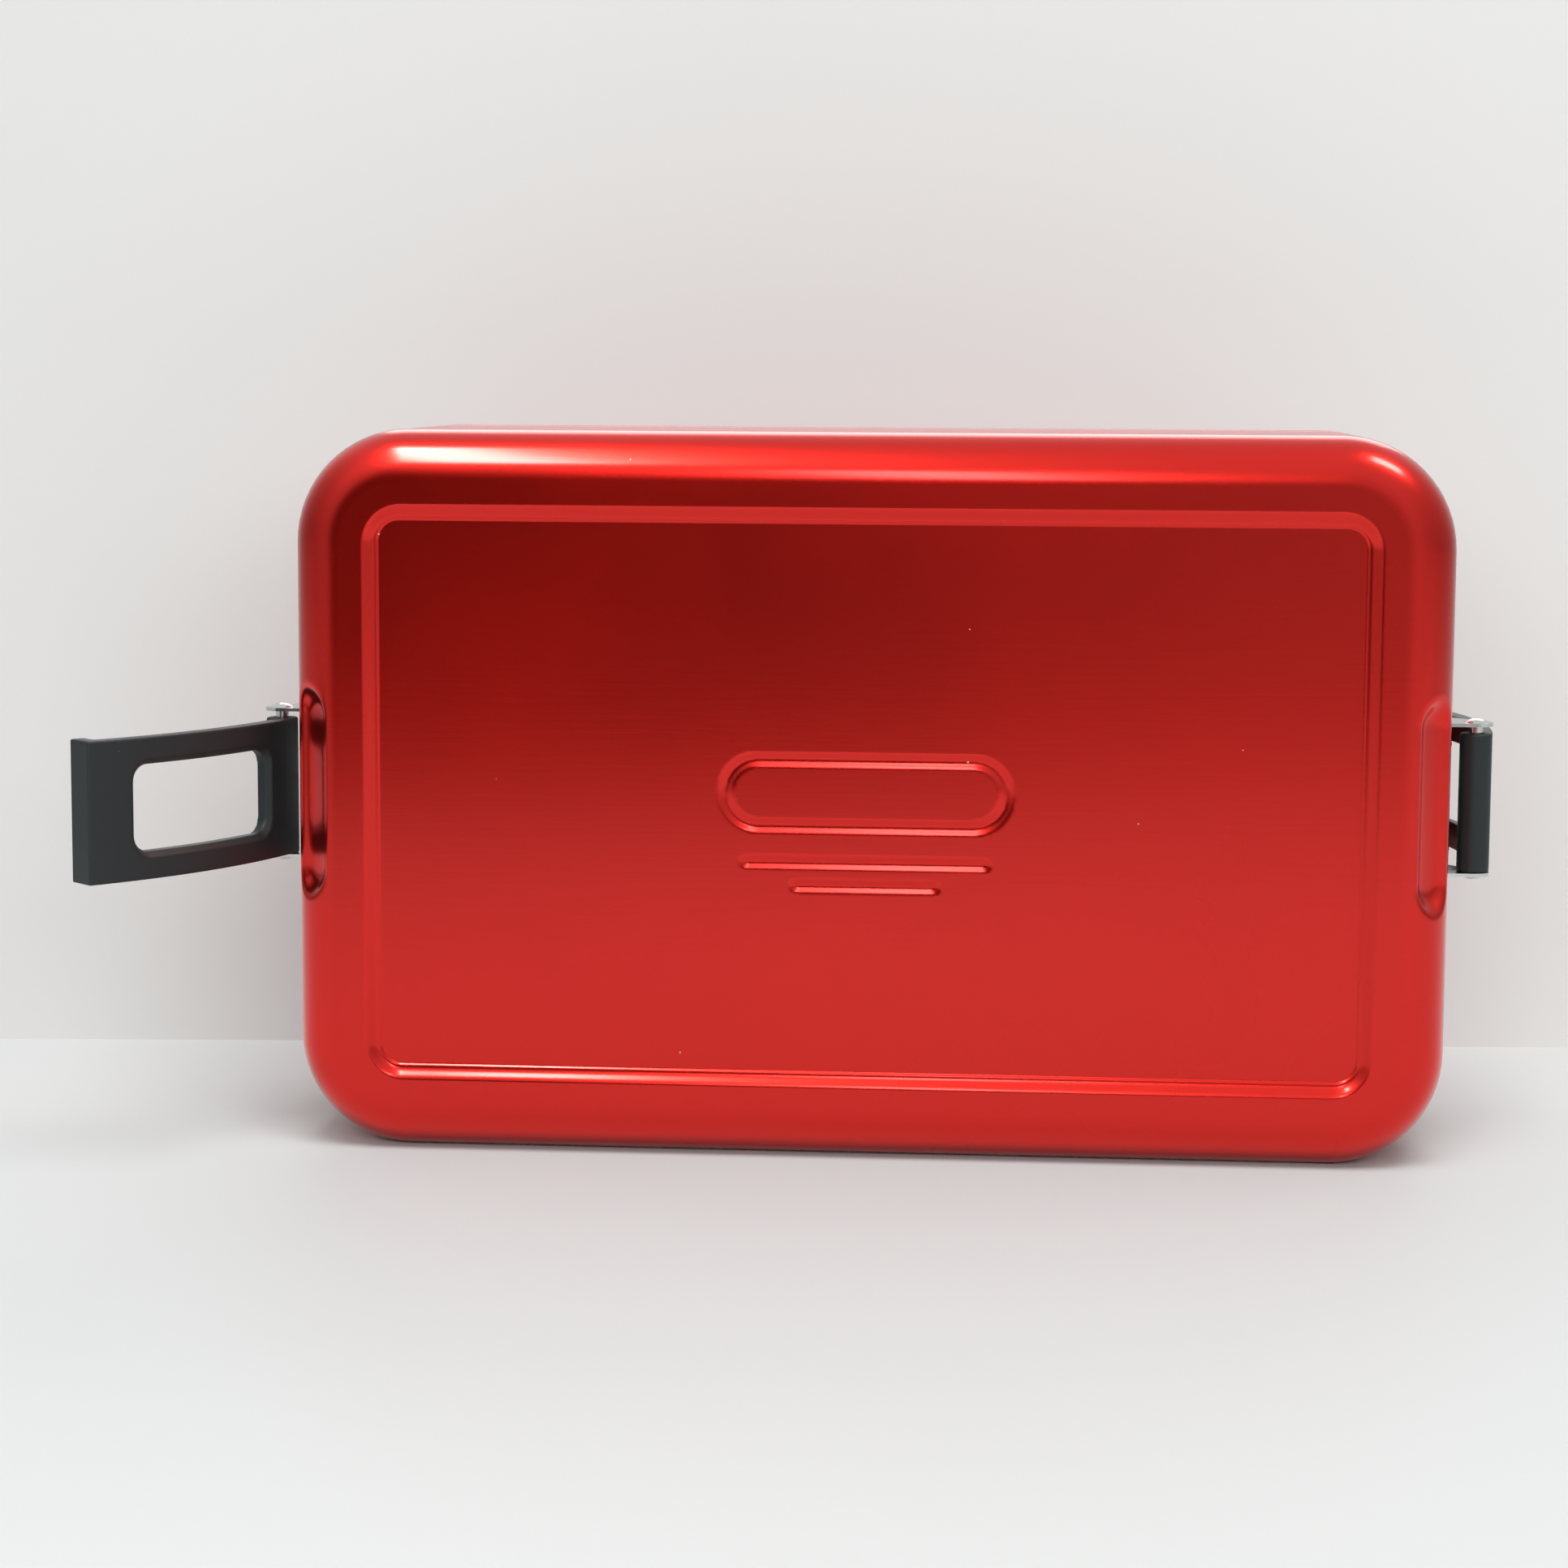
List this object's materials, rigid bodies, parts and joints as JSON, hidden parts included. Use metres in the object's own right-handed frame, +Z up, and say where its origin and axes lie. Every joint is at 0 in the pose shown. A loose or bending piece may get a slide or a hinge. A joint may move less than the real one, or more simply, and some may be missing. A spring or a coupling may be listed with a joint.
{
  "type": "lunch box",
  "caption": "Rectangular drawn-aluminium lunch box with rounded corners, a sealed lift-off lid and a swinging plastic clip on each end wall.",
  "frame": {"origin": "centre of the lower long wall, on which the box stands as pictured, midway between the underside's foot ring and the lid's top ring", "axes": "+Z up; X along the length, with the open clip at -X; the tub's underside faces -Y and the lid faces +Y"},
  "size_m": [0.2504, 0.1007, 0.131],
  "materials": {
    "anodised_aluminium": "satin red anodised, with a fine brushed grain along the length",
    "seal_silicone": "matt translucent white silicone",
    "polished_steel": "polished stainless steel",
    "clip_plastic": "matt black moulded plastic"
  },
  "bodies": {
    "tub": {"tub_shell": "anodised_aluminium", "left_bracket": "polished_steel", "right_bracket": "polished_steel", "left_hinge_pin": "polished_steel", "right_hinge_pin": "polished_steel", "left_rivet_upper": "polished_steel", "left_rivet_middle": "polished_steel", "left_rivet_lower": "polished_steel", "right_rivet_upper": "polished_steel", "right_rivet_middle": "polished_steel", "right_rivet_lower": "polished_steel"},
    "lid": {"lid_shell": "anodised_aluminium", "lid_gasket": "seal_silicone"},
    "left_clip": {"left_clip_lever": "clip_plastic"},
    "right_clip": {"right_clip_lever": "clip_plastic"}
  },
  "joints": [
    {"name": "left_clip_swing", "type": "hinge", "parent": "tub", "child": "left_clip", "pos_m": [-0.1094, -0.017, 0.0655], "axis": [0, 0, 1], "range_deg": [-158.5, 21.5]},
    {"name": "right_clip_swing", "type": "hinge", "parent": "tub", "child": "right_clip", "pos_m": [0.1094, -0.017, 0.0655], "axis": [0, 0, -1], "range_deg": [0, 180]},
    {"name": "lid_lift", "type": "slide", "parent": "tub", "child": "lid", "axis": [0, 1, 0], "range_m": [0, 0.024]}
  ],
  "couplings": [
    {"joint": "right_clip_swing", "follows": "lid_lift", "rad_per_m": 130.8}
  ]
}
